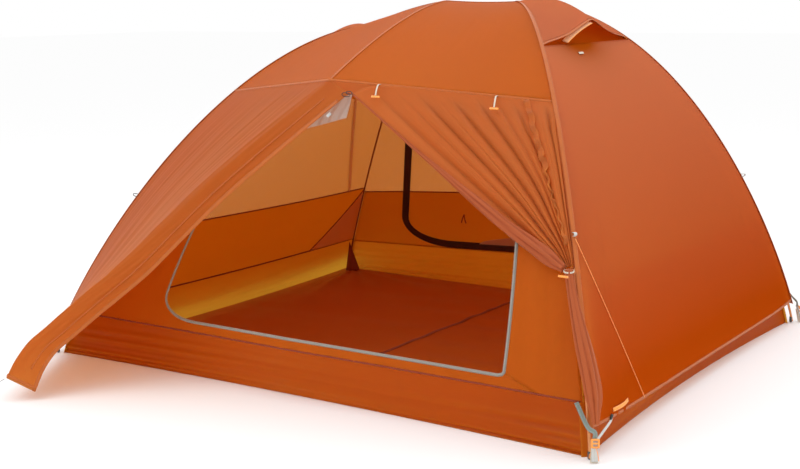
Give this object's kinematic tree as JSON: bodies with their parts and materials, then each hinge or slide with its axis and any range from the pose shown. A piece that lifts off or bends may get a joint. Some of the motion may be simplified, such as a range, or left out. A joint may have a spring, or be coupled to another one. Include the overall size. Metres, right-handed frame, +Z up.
{
  "type": "dome tent on poles",
  "caption": "Two-door dome tent with fly on hubbed poles: front door open, one half drawn back to a leg, the other pegged out.",
  "frame": {"origin": "underside of the floor, midway between the four pole feet", "axes": "+Z up; X along the ridge, right end +X; the open front door faces -Y"},
  "size_m": [2.2386, 3.1589, 1.2698],
  "materials": {
    "fly_cloth": "thin coated ripstop, satin",
    "inner_cloth": "thin uncoated nylon",
    "inner_mesh": "pale see-through cloth",
    "floor_cloth": "coated floor cloth, satin",
    "tub_cloth": "coated floor cloth, satin",
    "webbing": "woven webbing",
    "pole": "anodised tube",
    "hub_plastic": "moulded",
    "bright_plastic": "moulded",
    "guy_cord": "braided cord",
    "grey_cord": "braided cord",
    "peg_metal": "anodised peg",
    "zip_metal": "die-cast slider"
  },
  "bodies": {
    "root": {"brow_pole": "pole", "brow_swivel": "hub_plastic", "corner_strap_back_left": "webbing", "corner_strap_back_right": "webbing", "corner_strap_front_left": "webbing", "corner_strap_front_right": "webbing", "door_bundle": "fly_cloth", "door_drape": "fly_cloth", "floor_sheet": "floor_cloth", "fly_beside_door_back_left": "fly_cloth", "fly_beside_door_back_right": "fly_cloth", "fly_beside_door_front_left": "fly_cloth", "fly_cap_left": "fly_cloth", "fly_cap_right": "fly_cloth", "fly_end_left": "fly_cloth", "fly_end_right": "fly_cloth", "fly_roof_back": "fly_cloth", "fly_roof_front": "fly_cloth", "guyline": "guy_cord", "hub_left": "hub_plastic", "hub_right": "hub_plastic", "inner_band_left": "inner_cloth", "inner_band_right": "inner_cloth", "inner_door_back": "inner_cloth", "inner_door_front_roll": "inner_mesh", "inner_mesh_left": "inner_mesh", "inner_mesh_right": "inner_mesh", "inner_roof_back": "inner_mesh", "inner_roof_front": "inner_mesh", "inner_wall_back": "inner_mesh", "inner_wall_front": "inner_cloth", "leg_pole_back_left": "pole", "leg_pole_back_right": "pole", "leg_pole_front_left": "pole", "leg_pole_front_right": "pole", "ridge_pole": "pole", "tub_wall_back": "tub_cloth", "tub_wall_front": "tub_cloth", "tub_wall_left": "tub_cloth", "tub_wall_right": "tub_cloth"},
    "vestibule_flap_front_left": {"vestibule_flap_front_left": "fly_cloth", "flap_cord": "grey_cord", "peg": "peg_metal"},
    "vestibule_flap_back_left": {"vestibule_flap_back_left": "fly_cloth"},
    "vestibule_flap_back_right": {"vestibule_flap_back_right": "fly_cloth"},
    "vent_hood_right": {"vent_hood_right": "fly_cloth"},
    "vent_strut_right": {"vent_strut_right": "webbing"},
    "vent_hood_left": {"vent_hood_left": "fly_cloth"},
    "vent_strut_left": {"vent_strut_left": "webbing"},
    "zip_slider_fly": {"zip_slider_fly": "zip_metal"},
    "zip_slider_inner": {"zip_slider_inner": "zip_metal"},
    "toggle_seam_left": {"toggle_seam_left": "bright_plastic"},
    "toggle_seam_right": {"toggle_seam_right": "bright_plastic"},
    "toggle_tie": {"toggle_tie": "bright_plastic"},
    "corner_buckle_front_left": {"corner_buckle_front_left": "bright_plastic"},
    "corner_buckle_back_left": {"corner_buckle_back_left": "bright_plastic"},
    "corner_buckle_front_right": {"corner_buckle_front_right": "bright_plastic"},
    "corner_buckle_back_right": {"corner_buckle_back_right": "bright_plastic"}
  },
  "joints": [
    {"name": "flap_front_left_swing", "type": "hinge", "parent": "root", "child": "vestibule_flap_front_left", "pos_m": [-1.08318, -0.9088, 0.07236], "axis": [-0.7975, -0.1129, -0.5926], "range_deg": [0, 80]},
    {"name": "flap_back_left_swing", "type": "hinge", "parent": "root", "child": "vestibule_flap_back_left", "pos_m": [-1.08318, 0.9088, 0.07236], "axis": [0.7975, -0.1129, 0.5926], "range_deg": [0, 80]},
    {"name": "flap_back_right_swing", "type": "hinge", "parent": "root", "child": "vestibule_flap_back_right", "pos_m": [1.08698, 0.91189, 0.07751], "axis": [0.7137, 0.134, -0.6875], "range_deg": [0, 80]},
    {"name": "vent_hood_right_close", "type": "hinge", "parent": "root", "child": "vent_hood_right", "pos_m": [0.53024, 0, 1.20632], "axis": [0, 1, 0], "range_deg": [0, 35]},
    {"name": "vent_strut_right_fold", "type": "hinge", "parent": "vent_hood_right", "child": "vent_strut_right", "pos_m": [0.62323, -0.012, 1.19232], "axis": [-1, 0, 0], "range_deg": [0, 17]},
    {"name": "vent_hood_left_close", "type": "hinge", "parent": "root", "child": "vent_hood_left", "pos_m": [-0.43519, 0, 1.12615], "axis": [0, -1, 0], "range_deg": [0, 35]},
    {"name": "vent_strut_left_fold", "type": "hinge", "parent": "vent_hood_left", "child": "vent_strut_left", "pos_m": [-0.52819, -0.012, 1.11215], "axis": [-1, 0, 0], "range_deg": [0, 17]},
    {"name": "fly_zip_slide", "type": "slide", "parent": "vestibule_flap_front_left", "child": "zip_slider_fly", "axis": [-0.5893, -0.4444, -0.6747], "range_m": [0, 0.35]},
    {"name": "inner_zip_slide", "type": "slide", "parent": "root", "child": "zip_slider_inner", "axis": [1, 0, 0], "range_m": [-0.1, 0.15]},
    {"name": "toggle_seam_left_swing", "type": "hinge", "parent": "root", "child": "toggle_seam_left", "pos_m": [0.2413, -0.71967, 1.00429], "axis": [-1, 0, 0], "range_deg": [0, 70]},
    {"name": "toggle_seam_right_swing", "type": "hinge", "parent": "root", "child": "toggle_seam_right", "pos_m": [0.6032, -0.60323, 0.97093], "axis": [-1, 0, 0], "range_deg": [0, 70]},
    {"name": "toggle_tie_swing", "type": "hinge", "parent": "root", "child": "toggle_tie", "pos_m": [0.95541, -0.82594, 0.52274], "axis": [-1, 0, 0], "range_deg": [0, 70]},
    {"name": "buckle_front_left_slide", "type": "slide", "parent": "root", "child": "corner_buckle_front_left", "axis": [-0.2105, -0.3153, -0.9254], "range_m": [0, 0.015]},
    {"name": "buckle_back_left_slide", "type": "slide", "parent": "root", "child": "corner_buckle_back_left", "axis": [-0.2105, 0.3153, -0.9254], "range_m": [0, 0.015]},
    {"name": "buckle_front_right_slide", "type": "slide", "parent": "root", "child": "corner_buckle_front_right", "axis": [0.1405, -0.2509, -0.9578], "range_m": [0, 0.015]},
    {"name": "buckle_back_right_slide", "type": "slide", "parent": "root", "child": "corner_buckle_back_right", "axis": [0.1405, 0.2509, -0.9578], "range_m": [0, 0.015]}
  ],
  "couplings": [
    {"joint": "vent_strut_right_fold", "follows": "vent_hood_right_close", "ratio": 0.46},
    {"joint": "vent_strut_left_fold", "follows": "vent_hood_left_close", "ratio": 0.46}
  ]
}
